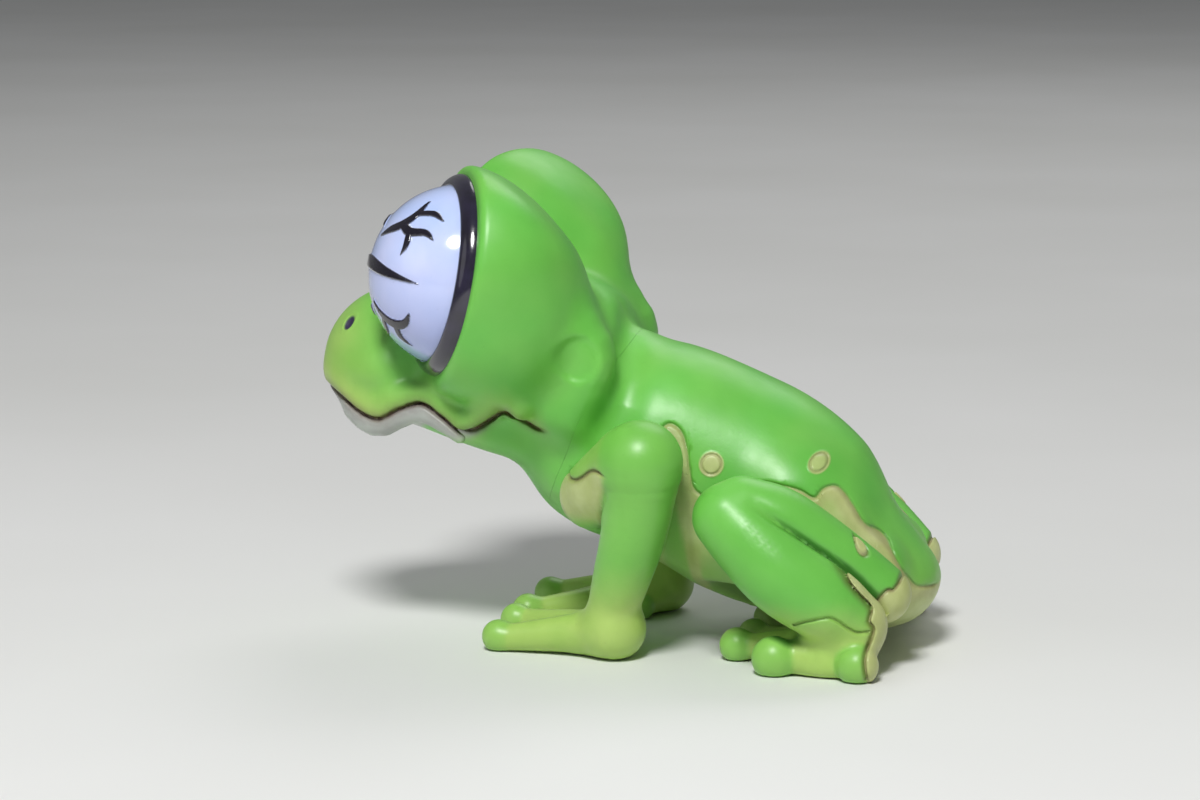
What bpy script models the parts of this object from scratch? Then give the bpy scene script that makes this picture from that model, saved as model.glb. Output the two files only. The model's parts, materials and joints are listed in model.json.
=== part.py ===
"""Crouching frog figure in painted vinyl: two torso shells, a head that swivels on a neck pin, glossy
eyeballs ringed in black, and four limbs that swivel on flanged pins trapped inside the torso shells.

Frame: the frog faces -X, its left side is -Y and +Z is up. The origin is on the ground, below the middle of
the frog's length. Dimensions are in millimetres and are turned into metres where the objects are made.
"""

from math import cos, pi, radians, sin, sqrt

import bmesh
import bpy
from mathutils import Matrix, Vector

MM = 0.001
LEFT, RIGHT = -1, 1
SIDE_NAMES = {LEFT: "left", RIGHT: "right"}

# ---- Driving dimensions, in millimetres ---------------------------------------------------------------
CENTRING = 0.31  # from the drawing's origin to the middle of the frog's length
GAP = 0.3  # between neighbouring pieces
PIN_GAP = 0.08  # running clearance round a pin
FIT_GAP = 0.15  # round a plug or an eyeball
WALL = 2.0  # torso shells
FAR = 60.0  # longer than the frog, for cutters
WELD = 0.005  # points closer than this are one point

EYE_AXIS = Vector((-0.868, 0.462, 0.182)).normalized()  # right eye, the left one is mirrored
BULB_CENTRE = Vector((-13.6, 8.6, 36.2))
BULB_RADIUS = 10.6
LID_EDGE = 2.9  # from the bulb's centre to the front of the lid, along the eye axis
EYE_SHIFT = 1.6  # from the bulb's centre to the eyeball's, along the eye axis
EYE_RADIUS = 9.0
EYE_BACK = 3.5  # from the eyeball's centre to its flat back
STEM_RADIUS, STEM_LENGTH = 2.0, 3.0  # the eyeball's fixing stem
RIM_RADIUS = 10.15
RIM_DEPTH = 1.5  # behind the lid's edge
RIM_FRONT = 0.6  # in front of the lid's edge
RIM_CROWN = 0.3  # rounding of the rim's front

NECK_POINT = Vector((-3.0, 0.0, 22.5))
NECK_AXIS = Vector((-0.90, 0.0, 0.44)).normalized()  # from the torso into the head
SHOULDER = Vector((-2.4, 8.9, 15.4))  # centre of the foreleg's mating face, right side
HIP = Vector((25.5, 8.9, 9.0))
HIP_SPLAY = radians(12.0)
HIP_AXIS = Vector((sin(HIP_SPLAY), cos(HIP_SPLAY), 0.0))  # outward, right side
SHOULDER_AXIS = Vector((0.0, 1.0, 0.0))
SHOULDER_LAND = 4.2  # radius of the flat land on the chest
WRIST = Vector((1.3, 11.8, 5.3))
WRIST_AXIS = Vector((0.12, 0.10, 0.99)).normalized()  # from the hand into the forearm
ANKLE = Vector((24.9, 13.4, 5.2))
ANKLE_AXIS = Vector((-0.20, 0.0, 0.98)).normalized()  # from the foot into the shank

PIN_RADIUS = 1.5
FLANGE_RADIUS, FLANGE_THICKNESS = 2.6, 1.2
NECK_PIN = (2.4, 4.0)  # from the joint face to the flange, and from the face to the pin's tip
SHOULDER_PIN = (3.4, 3.0)
HIP_PIN = (3.6, 3.0)
PLUG_RADIUS = 1.2  # on a hand or a foot
PLUG_LENGTH = 3.0
PLUG_ROOT = 1.5

# The mouth line, seen from the side, from the snout back: (x, z)
MOUTH = (
    (-36.0, 24.4), (-30.4, 24.5), (-27.6, 23.7), (-24.2, 22.2), (-21.0, 23.0), (-17.9, 24.2),
    (-15.6, 22.9), (-13.4, 21.8), (-11.4, 22.8), (-9.6, 23.9), (-8.0, 22.9), (-6.2, 22.1),
)
THROAT_FLOOR = -10.0  # below the frog

# The line between the back and belly shells, seen from the side, from the chest back: (x, z)
PARTING = (
    (-14.0, 15.6), (-0.4, 15.6), (3.0, 18.6), (5.3, 21.7), (7.0, 20.8), (9.4, 17.0), (11.5, 15.6),
    (15.5, 16.8), (19.8, 15.0), (21.6, 16.6), (22.9, 16.2), (25.0, 13.0), (27.3, 10.2), (28.6, 9.0),
    (34.0, 8.2),
)

COLOURS = {
    "green_skin": ((0.125, 0.46, 0.06), 0.38),
    "cream_skin": ((0.56, 0.60, 0.22), 0.42),
    "lime_skin": ((0.40, 0.58, 0.12), 0.40),
    "pale_lip": ((0.62, 0.62, 0.52), 0.45),
    "eye_white": ((0.55, 0.64, 0.92), 0.10),
    "eye_black": ((0.012, 0.011, 0.02), 0.15),
    "pin_plastic": ((0.70, 0.70, 0.66), 0.50),
}


# ---- Small helpers ------------------------------------------------------------------------------------
def on_side(point, side):
    """A right-side point or direction, mirrored for the left side."""
    return Vector((point[0], point[1] * side, point[2]))


def material(name):
    """The named Principled material, made once."""
    found = bpy.data.materials.get(name)
    if found:
        return found
    colour, roughness = COLOURS[name]
    made = bpy.data.materials.new(name)
    made.use_nodes = True
    shader = made.node_tree.nodes["Principled BSDF"]
    shader.inputs["Base Color"].default_value = (*colour, 1.0)
    shader.inputs["Roughness"].default_value = roughness
    return made


def new_object(name, bm, slot=None, at=(0.0, 0.0, 0.0), axis=(0.0, 0.0, 1.0)):
    """An object from a bmesh in millimetres, placed at a point with its +Z along an axis.

    Without a material it is a cutter, which isn't rendered.
    """
    bmesh.ops.scale(bm, vec=(MM, MM, MM), verts=bm.verts)
    bmesh.ops.recalc_face_normals(bm, faces=bm.faces)
    for face in bm.faces:
        face.smooth = True
    mesh = bpy.data.meshes.new(name)
    bm.to_mesh(mesh)
    bm.free()
    made = bpy.data.objects.new(name, mesh)
    made.location = Vector(at) * MM
    made.rotation_euler = facing(axis).to_euler()
    bpy.context.scene.collection.objects.link(made)
    if slot:
        mesh.materials.append(material(slot))
    else:
        made.hide_render = True
        made.display_type = "WIRE"
    return made


def shaped(name, shape, *arguments, **placing):
    """An object made by one of the shape functions."""
    bm = bmesh.new()
    shape(bm, *arguments)
    return new_object(name, bm, **placing)


def hang(name, point, children):
    """Hangs objects on an empty at a point, without moving them."""
    pivot = bpy.data.objects.new(name, None)
    pivot.location = Vector(point) * MM
    bpy.context.scene.collection.objects.link(pivot)
    for child in children:
        child.parent = pivot
        child.location -= pivot.location
    return pivot


def facing(direction):
    """The rotation that turns +Z to a direction."""
    return Vector((0.0, 0.0, 1.0)).rotation_difference(Vector(direction)).to_matrix().to_4x4()


def add_ball(bm, centre, radius, segments=16):
    at = Matrix.Translation(Vector(centre))
    made = bmesh.ops.create_uvsphere(bm, u_segments=segments, v_segments=segments // 2, radius=radius, matrix=at)
    return made["verts"]


def add_ellipsoid(bm, centre, radii, tilt=0.0):
    """An ellipsoid turned nose-up by tilt degrees about Y."""
    turn = Matrix.Rotation(radians(tilt), 4, "Y")
    at = Matrix.Translation(Vector(centre)) @ turn @ Matrix.Diagonal((*radii, 1.0))
    bmesh.ops.create_icosphere(bm, subdivisions=4, radius=1.0, matrix=at)


def add_limb(bm, *balls):
    """A limb of flesh: each pair of neighbouring balls, as (centre, radius), is wrapped in its hull."""
    for first, second in zip(balls, balls[1:]):
        ends = add_ball(bm, *first) + add_ball(bm, *second)
        skin = {edge for vertex in ends for edge in vertex.link_edges}
        bmesh.ops.delete(bm, geom=list(skin), context="EDGES_FACES")
        hull = bmesh.ops.convex_hull(bm, input=ends)
        inner = [part for part in hull["geom_interior"] if isinstance(part, bmesh.types.BMVert)]
        bmesh.ops.delete(bm, geom=inner, context="VERTS")


def add_turned(bm, profile, segments=24):
    """A turned body: (radius, height) points, spun round Z. Returns its points."""
    before = set(bm.verts)
    line = [bm.verts.new((radius, 0.0, height)) for radius, height in profile]
    edges = [bm.edges.new(pair) for pair in zip(line, line[1:])]
    bmesh.ops.spin(bm, geom=line + edges, axis=(0, 0, 1), angle=2 * pi, steps=segments)
    bmesh.ops.remove_doubles(bm, verts=[point for point in bm.verts if point not in before], dist=WELD)
    return [point for point in bm.verts if point not in before]


def add_cylinder(bm, radius, low, high):
    """A cylinder along Z, between two heights."""
    add_turned(bm, [(0.0, low), (radius, low), (radius, high), (0.0, high)])


def add_prism(bm, outline):
    """An outline of (x, z) points, carried right across the frog."""
    low = [bm.verts.new((x, -FAR, z)) for x, z in outline]
    high = [bm.verts.new((x, FAR, z)) for x, z in outline]
    bm.faces.new(low)
    bm.faces.new(reversed(high))
    for i in range(len(outline)):
        j = (i + 1) % len(outline)
        bm.faces.new((low[i], high[i], high[j], low[j]))
    bmesh.ops.triangulate(bm, faces=bm.faces)


def add_block(bm):
    """A large block that stands on the XY plane."""
    bmesh.ops.create_cube(bm, size=FAR, matrix=Matrix.Translation((0.0, 0.0, FAR / 2)))


def half_space(name, point, normal):
    """A cutter that fills the side of a plane to which its normal points."""
    return shaped(name, add_block, at=point, axis=normal)


def arc(radius, low, high, steps):
    """Profile points on a ball of this radius, between two distances from its centre."""
    distances = [low + (high - low) * (0.5 - 0.5 * cos(pi * i / steps)) for i in range(steps + 1)]
    return [(sqrt(max(radius * radius - d * d, 0.0)), d) for d in distances]


def join_on(target, other):
    """Adds another body to the target."""
    step = target.modifiers.new(f"Join {other.name}", "BOOLEAN")
    step.operation = "UNION"
    step.solver = "EXACT"
    step.object = other


def cut_away(target, cutters):
    """Cuts all the cutters out of the target in one step."""
    group = bpy.data.collections.new(f"{target.name}_cutters")
    for cutter in cutters:
        group.objects.link(cutter)
    step = target.modifiers.new("Cut", "BOOLEAN")
    step.operation = "DIFFERENCE"
    step.solver = "EXACT"
    step.operand_type = "COLLECTION"
    step.collection = group


def fuse(body, voxel, smoothing, kept):
    """Melts a pile of overlapping lumps into one smooth skin, and keeps a share of its triangles."""
    remesh = body.modifiers.new("Melt", "REMESH")
    remesh.mode = "VOXEL"
    remesh.voxel_size = voxel * MM
    remesh.use_smooth_shade = True
    smooth = body.modifiers.new("Smooth", "SMOOTH")
    smooth.factor = 0.5
    smooth.iterations = smoothing
    thin = body.modifiers.new("Thin", "DECIMATE")
    thin.ratio = kept


# ---- Flesh --------------------------------------------------------------------------------------------
def add_trunk(bm, inset=0.0):
    """The trunk's four main masses, which can be shrunk to make the hollow inside."""
    for centre, radii, tilt in (
        ((13.0, 0.0, 14.6), (17.0, 10.6, 10.2), 30.0),
        ((0.8, 0.0, 21.2), (8.3, 9.6, 9.0), 0.0),
        ((-3.2, 0.0, 16.8), (6.8, 8.2, 5.6), 0.0),
        ((26.0, 0.0, 7.6), (4.6, 7.0, 4.6), 0.0),
    ):
        add_ellipsoid(bm, centre, [radius - inset for radius in radii], tilt)


def add_head(bm):
    add_ellipsoid(bm, (-9.2, 0.0, 27.6), (10.6, 12.4, 9.6))
    add_ellipsoid(bm, (-21.0, 0.0, 26.6), (10.3, 10.2, 6.4), -10.0)
    add_ellipsoid(bm, (-24.5, 0.0, 27.8), (6.6, 5.5, 5.2), -25.0)
    add_ellipsoid(bm, (-16.0, 0.0, 22.4), (13.0, 9.8, 4.4), 20.0)
    for side in (LEFT, RIGHT):
        bulb_end = LID_EDGE - RIM_DEPTH - GAP
        bulb = add_turned(bm, [*arc(BULB_RADIUS, -BULB_RADIUS, bulb_end, 12), (0.0, bulb_end)], 32)
        at = Matrix.Translation(on_side(BULB_CENTRE, side)) @ facing(on_side(EYE_AXIS, side))
        bmesh.ops.transform(bm, matrix=at, verts=bulb)


def add_body(bm):
    add_trunk(bm)
    add_head(bm)
    for side in (LEFT, RIGHT):
        add_limb(bm, (on_side((19.5, 5.6, 16.0), side), 4.4), (on_side((25.4, 5.2, 9.2), side), 4.0))
        add_limb(bm, (on_side((-2.4, 4.0, 15.4), side), 4.4), (on_side((-2.4, 5.4, 15.4), side), 4.2))


def body_skin(name, slot, kept):
    """The skin of the head and trunk in one piece, which the shells are cut from."""
    made = shaped(name, add_body, slot=slot)
    fuse(made, 0.8, 6, kept)
    return made


# ---- Pins ---------------------------------------------------------------------------------------------
def add_pin(bm, inner, outer, grow=0.0):
    """A flanged pin along Z, with its joint face at Z = 0: flange in the shell, tip in the limb."""
    flange_back = -inner - FLANGE_THICKNESS - grow
    flange_front = -inner + grow
    profile = [
        (0.0, flange_back), (FLANGE_RADIUS + grow, flange_back), (FLANGE_RADIUS + grow, flange_front),
        (PIN_RADIUS + grow, flange_front), (PIN_RADIUS + grow, outer + grow), (0.0, outer + grow),
    ]
    add_turned(bm, profile)


def make_pin(joint, end, point, axis, reaches):
    """Makes a pin, and returns the cutter for its bore."""
    shaped(f"{joint}_pin{end}", add_pin, *reaches, slot="pin_plastic", at=point, axis=axis)
    return shaped(f"{joint}_bore{end}", add_pin, *reaches, PIN_GAP, at=point, axis=axis)


def make_pins():
    """Makes all the pins, and returns their bores by joint name."""
    bores = {"neck": make_pin("neck", "", NECK_POINT, NECK_AXIS, NECK_PIN)}
    for side in (LEFT, RIGHT):
        end = f"_{SIDE_NAMES[side]}"
        bores[f"shoulder{end}"] = make_pin(
            "shoulder", end, on_side(SHOULDER, side), on_side(SHOULDER_AXIS, side), SHOULDER_PIN
        )
        bores[f"hip{end}"] = make_pin("hip", end, on_side(HIP, side), on_side(HIP_AXIS, side), HIP_PIN)
    return bores


# ---- Torso --------------------------------------------------------------------------------------------
def parting_outline(edge):
    """Side outline of everything above the parting line, or below it, by the height of the far edge."""
    return [*PARTING, (FAR, PARTING[-1][1]), (FAR, edge), (PARTING[0][0], edge)]


def lowered(outline, drop):
    return [(x, z - drop) for x, z in outline]


def make_torso(bores):
    neck = half_space("head_side", NECK_POINT, NECK_AXIS)
    cavity = shaped("trunk_cavity", add_trunk, WALL)
    fuse(cavity, 1.2, 2, 0.12)
    cut_away(cavity, [half_space("bulkhead", NECK_POINT - NECK_AXIS * NECK_PIN[0], NECK_AXIS)])
    shared = [neck, cavity, bores["shoulder_left"], bores["shoulder_right"]]
    for side in (LEFT, RIGHT):
        name = SIDE_NAMES[side]
        hip_axis = on_side(HIP_AXIS, side)
        shoulder = {"at": on_side(SHOULDER, side), "axis": on_side(SHOULDER_AXIS, side)}
        land = (SHOULDER_LAND, -GAP, FAR / 4)
        shared.append(shaped(f"shoulder_land_{name}", add_cylinder, *land, **shoulder))
        shared.append(half_space(f"hip_land_{name}", on_side(HIP, side) - hip_axis * GAP, hip_axis))
    below = shaped("below_parting", add_prism, parting_outline(-FAR))
    above = shaped("above_parting", add_prism, lowered(parting_outline(FAR), GAP))
    back = body_skin("back_shell", "green_skin", 0.07)
    belly = body_skin("belly_shell", "cream_skin", 0.07)
    cut_away(back, [*shared, below, bores["neck"]])
    cut_away(belly, [*shared, above, bores["hip_left"], bores["hip_right"]])


# ---- Head ---------------------------------------------------------------------------------------------
def jaw_outline(grow):
    """Side outline of the lower jaw, grown by a gap. Its back is parallel to the neck."""
    line = [(x + grow, z + grow) for x, z in MOUTH]
    back_x, back_z = line[-1]
    lean = -NECK_AXIS.z / NECK_AXIS.x
    return [(line[0][0], THROAT_FLOOR), *line, (back_x - (back_z - THROAT_FLOOR) * lean, THROAT_FLOOR)]


def around_jaw_outline():
    """Side outline of everything above and behind the lower jaw."""
    edge = jaw_outline(0.0)
    return [*edge, (FAR, THROAT_FLOOR), (FAR, FAR), (edge[0][0], FAR)]


def add_eyeball(bm, grow=0.0):
    """The eyeball looking along +Z, with a flat back and a fixing stem."""
    radius = EYE_RADIUS + grow
    back = -EYE_BACK - grow
    stem = STEM_RADIUS + grow
    stem_end = back - STEM_LENGTH
    profile = [(0.0, stem_end), (stem, stem_end), (stem, back), *arc(radius, back, radius, 9)]
    add_turned(bm, profile, 26)


def add_rim(bm):
    """The black ring round the eyeball, with the lid's edge at Z = 0."""
    shift = LID_EDGE - EYE_SHIFT
    room = EYE_RADIUS + FIT_GAP
    bore = [(radius, d - shift) for radius, d in arc(room, shift - RIM_DEPTH, shift + RIM_FRONT, 2)]
    crest = ((RIM_RADIUS + bore[-1][0]) / 2, RIM_FRONT + RIM_CROWN)
    shoulder = (RIM_RADIUS, RIM_FRONT - RIM_CROWN)
    ring = [*bore, crest, shoulder, (RIM_RADIUS, -RIM_DEPTH), bore[0]]
    add_turned(bm, ring, 32)


def make_head(bores):
    torso_side = half_space("torso_side", NECK_POINT + NECK_AXIS * GAP, -NECK_AXIS)
    around_jaw = shaped("around_jaw", add_prism, around_jaw_outline()[1:])
    jaw_room = shaped("jaw_room", add_prism, jaw_outline(GAP))
    palate = shaped("mouth_cavity", add_ellipsoid, (-14.5, 0.0, 23.6), (6.6, 6.8, 4.2), 12.0)
    head = body_skin("head_shell", "green_skin", 0.09)
    jaw = body_skin("lower_jaw", "pale_lip", 0.08)
    cut_away(jaw, [around_jaw, palate])
    sockets = []
    for side in (LEFT, RIGHT):
        name = SIDE_NAMES[side]
        looking = on_side(EYE_AXIS, side)
        eye = {"at": on_side(BULB_CENTRE + EYE_AXIS * EYE_SHIFT, side), "axis": looking}
        lid = {"at": on_side(BULB_CENTRE + EYE_AXIS * LID_EDGE, side), "axis": looking}
        seat = (RIM_RADIUS + GAP, -RIM_DEPTH - GAP, RIM_FRONT + 2 * GAP)
        shaped(f"eyeball_{name}", add_eyeball, slot="eye_white", **eye)
        shaped(f"eye_rim_{name}", add_rim, slot="eye_black", **lid)
        sockets.append(shaped(f"rim_seat_{name}", add_cylinder, *seat, **lid))
        sockets.append(shaped(f"eye_socket_{name}", add_eyeball, FIT_GAP, **eye))
    cut_away(head, [torso_side, jaw_room, palate, bores["neck"], *sockets])


# ---- Limbs: chains of (x, y, z, radius) balls, right side ---------------------------------------------
FORELEG = (
    ((-2.4, 9.6, 15.4, 3.2), (-2.2, 11.4, 15.6, 3.1), (1.0, 13.4, 18.6, 3.3), (3.5, 15.2, 20.2, 3.8)),
    ((3.6, 15.2, 20.0, 3.8), (3.0, 14.6, 13.0, 3.5), (1.2, 11.9, 4.6, 2.8), (1.0, 11.4, 3.0, 2.7)),
)
HAND = (
    ((1.5, 12.0, 6.0, 2.8), (1.0, 11.4, 2.6, 2.9), (-4.0, 10.8, 1.6, 1.9), (-10.2, 10.7, 1.0, 1.3)),
    ((0.7, 10.2, 2.6, 2.6), (-5.0, 6.0, 1.6, 1.6), (-10.4, 2.8, 1.2, 1.3)),
    ((1.0, 10.5, 2.0, 2.2), (-0.4, 6.6, 1.0, 1.2)),
    ((-11.0, 10.6, 1.1, 1.7), (-10.6, 10.6, 1.1, 1.6)),
    ((-11.3, 2.4, 1.2, 1.7), (-10.9, 2.6, 1.2, 1.6)),
    ((-0.6, 6.1, 1.0, 1.5), (-0.4, 6.4, 1.0, 1.4)),
)
HIND_LEG = (
    ((13.2, 14.6, 15.9, 3.6), (20.5, 12.6, 12.9, 4.0), (25.5, 11.4, 9.0, 3.8), (26.4, 10.9, 8.6, 3.6)),
    ((12.2, 15.0, 15.0, 3.5), (17.6, 15.4, 11.3, 4.5), (25.0, 13.6, 5.4, 3.3), (25.2, 13.4, 3.6, 2.8)),
)
FOOT = (
    ((25.0, 13.6, 6.4, 3.2), (24.8, 13.4, 2.8, 3.0), (20.0, 11.6, 2.0, 1.9), (13.4, 9.6, 1.1, 1.4)),
    ((23.8, 12.4, 2.6, 2.4), (18.6, 8.0, 1.3, 1.4), (14.2, 4.4, 1.0, 1.2)),
    ((24.2, 13.4, 2.8, 2.5), (20.5, 14.3, 1.6, 1.8), (18.0, 14.8, 1.2, 1.6)),
    ((25.0, 13.6, 2.8, 2.6), (25.2, 15.8, 1.4, 1.6)),
    ((12.5, 9.7, 1.2, 1.75), (13.0, 9.7, 1.2, 1.6)),
    ((13.1, 4.0, 1.0, 1.6), (13.5, 4.2, 1.0, 1.5)),
    ((17.0, 15.1, 1.4, 2.0), (18.0, 14.9, 1.4, 1.9)),
    ((25.2, 16.6, 1.4, 2.0), (25.2, 16.2, 1.4, 1.9)),
)


def limb(name, slot, side, chains, voxel, kept):
    bm = bmesh.new()
    for balls in chains:
        add_limb(bm, *[(on_side(ball[:3], side), ball[3]) for ball in balls])
    made = new_object(name, bm, slot)
    fuse(made, voxel, 4, kept)
    return made


def make_limb(side, names, chains, joint, bore, end, end_axis, ground):
    """One upper limb, swivelling on its joint face, and the hand or foot plugged into its lower end."""
    name = SIDE_NAMES[side]
    upper_name, lower_name = names
    face, axis = on_side(joint[0], side), on_side(joint[1], side)
    at, up = on_side(end, side), on_side(end_axis, side)
    upper = limb(f"{upper_name}_{name}", "green_skin", side, chains[0], 0.6, 0.07)
    lower = limb(f"{lower_name}_{name}", "lime_skin", side, chains[1], 0.45, 0.07)
    inner_side = half_space(f"{upper_name}_inner_side_{name}", face, -axis)
    below = half_space(f"{upper_name}_below_{name}", at + up * GAP, -up)
    room = (PLUG_RADIUS + FIT_GAP, -PLUG_ROOT, PLUG_LENGTH + GAP)
    socket = shaped(f"{upper_name}_socket_{name}", add_cylinder, *room, at=at, axis=up)
    cut_away(upper, [inner_side, below, socket, bore])
    above = half_space(f"{lower_name}_above_{name}", at, up)
    plug_size = (PLUG_RADIUS, -PLUG_ROOT, PLUG_LENGTH)
    plug = shaped(f"{lower_name}_plug_{name}", add_cylinder, *plug_size, at=at, axis=up)
    cut_away(lower, [above, ground])
    join_on(lower, plug)


# ---- The whole frog -----------------------------------------------------------------------------------
def named(*names):
    return [bpy.data.objects[name] for name in names]


def hang_all():
    """Hangs each moving group on an empty at its joint's centre, and everything on one empty."""
    head = ["head_shell", "lower_jaw", "eyeball_left", "eyeball_right", "eye_rim_left", "eye_rim_right"]
    hang("neck_turn", NECK_POINT, named(*head))
    for side in (LEFT, RIGHT):
        name = SIDE_NAMES[side]
        hang(f"shoulder_turn_{name}", on_side(SHOULDER, side), named(f"foreleg_{name}", f"hand_{name}"))
        hang(f"hip_turn_{name}", on_side(HIP, side), named(f"hind_leg_{name}", f"foot_{name}"))
    loose = [thing for thing in bpy.context.scene.objects if thing.parent is None]
    frog = hang("frog", (0.0, 0.0, 0.0), loose)
    frog.location.x = CENTRING * MM


def main():
    for old in list(bpy.data.objects):
        bpy.data.objects.remove(old)
    bores = make_pins()
    make_torso(bores)
    make_head(bores)
    ground = half_space("ground", (0.0, 0.0, 0.0), (0.0, 0.0, -1.0))
    shoulder, hip = (SHOULDER, SHOULDER_AXIS), (HIP, HIP_AXIS)
    for side in (LEFT, RIGHT):
        name = SIDE_NAMES[side]
        arm = (("foreleg", "hand"), (FORELEG, HAND), shoulder, bores[f"shoulder_{name}"], WRIST, WRIST_AXIS)
        leg = (("hind_leg", "foot"), (HIND_LEG, FOOT), hip, bores[f"hip_{name}"], ANKLE, ANKLE_AXIS)
        make_limb(side, *arm, ground)
        make_limb(side, *leg, ground)
    hang_all()


main()
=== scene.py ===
"""Crouching hand-painted vinyl frog with big glossy eyes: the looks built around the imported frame."""

import json

import bmesh
import bpy
import numpy as np
from mathutils import Matrix, Vector


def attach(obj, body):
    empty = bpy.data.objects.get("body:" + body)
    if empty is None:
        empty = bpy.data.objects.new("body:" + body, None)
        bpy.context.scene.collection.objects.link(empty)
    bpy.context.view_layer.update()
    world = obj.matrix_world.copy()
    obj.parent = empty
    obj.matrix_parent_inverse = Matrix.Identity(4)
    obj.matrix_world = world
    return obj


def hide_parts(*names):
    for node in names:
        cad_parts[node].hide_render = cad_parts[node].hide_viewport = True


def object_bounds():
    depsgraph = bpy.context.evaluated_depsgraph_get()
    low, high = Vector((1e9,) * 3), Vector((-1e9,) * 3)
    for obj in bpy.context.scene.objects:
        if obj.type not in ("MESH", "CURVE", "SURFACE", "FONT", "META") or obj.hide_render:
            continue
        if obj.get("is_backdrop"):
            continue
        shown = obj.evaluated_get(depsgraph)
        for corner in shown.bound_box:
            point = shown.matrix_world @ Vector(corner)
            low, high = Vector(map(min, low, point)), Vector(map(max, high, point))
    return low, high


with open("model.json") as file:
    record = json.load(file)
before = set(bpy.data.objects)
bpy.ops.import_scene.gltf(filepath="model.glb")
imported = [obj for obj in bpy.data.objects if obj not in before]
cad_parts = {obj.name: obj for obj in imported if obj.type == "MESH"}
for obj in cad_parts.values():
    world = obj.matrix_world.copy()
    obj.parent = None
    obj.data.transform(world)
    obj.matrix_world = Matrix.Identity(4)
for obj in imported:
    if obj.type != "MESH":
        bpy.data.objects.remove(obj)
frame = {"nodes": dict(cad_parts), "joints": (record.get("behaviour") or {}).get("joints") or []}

CAD_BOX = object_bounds()


# ---- Small tools --------------------------------------------------------------------------------------
def vec(*values):
    return np.array(values, float)


def unit(v):
    return v / np.linalg.norm(v)


def length(v):
    return np.sqrt((v * v).sum(-1))


def smooth(low, high, value):
    t = np.clip((value - low) / (high - low), 0.0, 1.0)
    return t * t * (3 - 2 * t)


def bump(distance, width):
    return np.exp(-((distance / width) ** 2))


def curve(points, count):
    """Catmull-Rom samples through points."""
    points = np.array(points, float)
    padded = np.vstack([2 * points[0] - points[1], points, 2 * points[-1] - points[-2]])
    s = np.linspace(0, len(points) - 1, count)
    i = np.minimum(s.astype(int), len(points) - 2)
    t = (s - i)[:, None]
    a, b, c, d = (padded[i + k] for k in range(4))
    return 0.5 * (2 * b + (c - a) * t + (2 * a - 5 * b + 4 * c - d) * t**2 + (3 * b - a - 3 * c + d) * t**3)


# ---- The frog's own measures, in millimetres ----------------------------------------------------------
# Drawn with its left side, -Y, towards the reader, and mirrored. The frame's joints say where it stands.
NECK = vec(-3.0, 0, 22.5)
NECK_AXIS = unit(vec(-0.90, 0, 0.44))
SHOULDER = vec(-2.4, -8.9, 15.4)
HIP = vec(25.5, -8.9, 9.0)
HIP_AXIS = vec(np.sin(np.radians(12)), -np.cos(np.radians(12)), 0)
WRIST, WRIST_AXIS = vec(1.3, -11.8, 5.3), unit(vec(0.12, -0.10, 0.99))
ANKLE, ANKLE_AXIS = vec(24.9, -13.4, 5.2), unit(vec(-0.20, 0.0, 0.98))
neck_joint = next(joint for joint in frame["joints"] if joint["name"] == "neck_turn")
SHIFT = np.array(neck_joint["pos_m"]) * 1000 - NECK  # from the drawing to the frame

LOOK = unit(vec(-0.868, -0.462, 0.182))
EAST = unit(np.cross(vec(0, 0, 1), LOOK))  # outward, across the eye
NORTH = np.cross(LOOK, EAST)
BULB = vec(-13.6, -8.6, 36.2)
BULB_RADIUS, LID_EDGE, EYE_SHIFT, EYE_RADIUS = 10.6, 2.9, 1.6, 9.0
EYE = BULB + EYE_SHIFT * LOOK

MOUTH = curve(
    [(-40, 0, 24.4), (-35, 0, 24.4), (-31.2, 0, 24.4), (-30.4, -3.6, 24.6), (-28, -6.5, 23.9), (-25.5, -8.4, 22.6),
     (-23.4, -9.5, 22.2), (-21.0, -10.5, 23.4), (-18.6, -11.2, 24.1), (-16.4, -11.7, 22.9), (-14.2, -12.2, 21.5),
     (-11.9, -12.7, 22.7), (-10.0, -12.9, 23.8), (-8.4, -12.9, 22.7), (-6.7, -12.7, 21.8), (-3, -12.4, 21.7)],
    76,
)
MOUTH_CORNER = -6.6
LIPS = MOUTH[10:66:3]
PARTING = curve(
    [(-20, 15.6), (-8, 15.6), (-0.4, 15.6), (3, 18.8), (4.7, 21.8), (5.7, 22.8), (6.9, 22.1), (7.6, 20.3), (7.9, 18.4),
     (8.5, 16.5), (10.6, 15.8), (12.8, 16.9), (15.0, 17.6), (17.2, 17.3), (18.7, 16.9), (20.0, 16.2), (20.8, 17.0),
     (21.8, 17.1), (22.7, 16.3), (23.6, 15.0), (24.6, 13.5), (26.0, 12.3), (27.0, 11.2), (27.8, 9.9), (28.5, 8.5),
     (29.2, 7.3), (30.0, 6.9), (31.4, 6.6), (36, 6.4)],
    150,
)

ARM = ((-1.7, -9.4, 15.5, 3.35), (0.0, -11.4, 17.0, 3.5), (2.2, -13.3, 19.0, 3.55), (4.0, -14.5, 19.8, 3.65))
FOREARM = ((4.0, -14.5, 19.8, 3.75), (4.0, -14.4, 16.8, 3.4), (3.2, -13.9, 12.6, 3.15), (1.9, -13.0, 8.4, 2.8),
           (0.9, -12.2, 5.2, 2.5), (0.7, -12.0, 3.0, 2.55))
THIGH = ((13.8, -14.0, 15.5, 3.3), (17.2, -13.4, 14.5, 3.3), (20.5, -12.4, 12.3, 3.2), (24.2, -11.0, 9.3, 3.05),
         (26.7, -10.0, 7.2, 2.85))
SHANK = ((12.6, -14.8, 14.9, 3.4), (15.0, -15.3, 12.7, 3.75), (18.2, -15.6, 9.8, 3.95), (21.9, -14.9, 7.2, 3.75),
         (24.4, -13.8, 5.3, 3.05))


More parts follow.
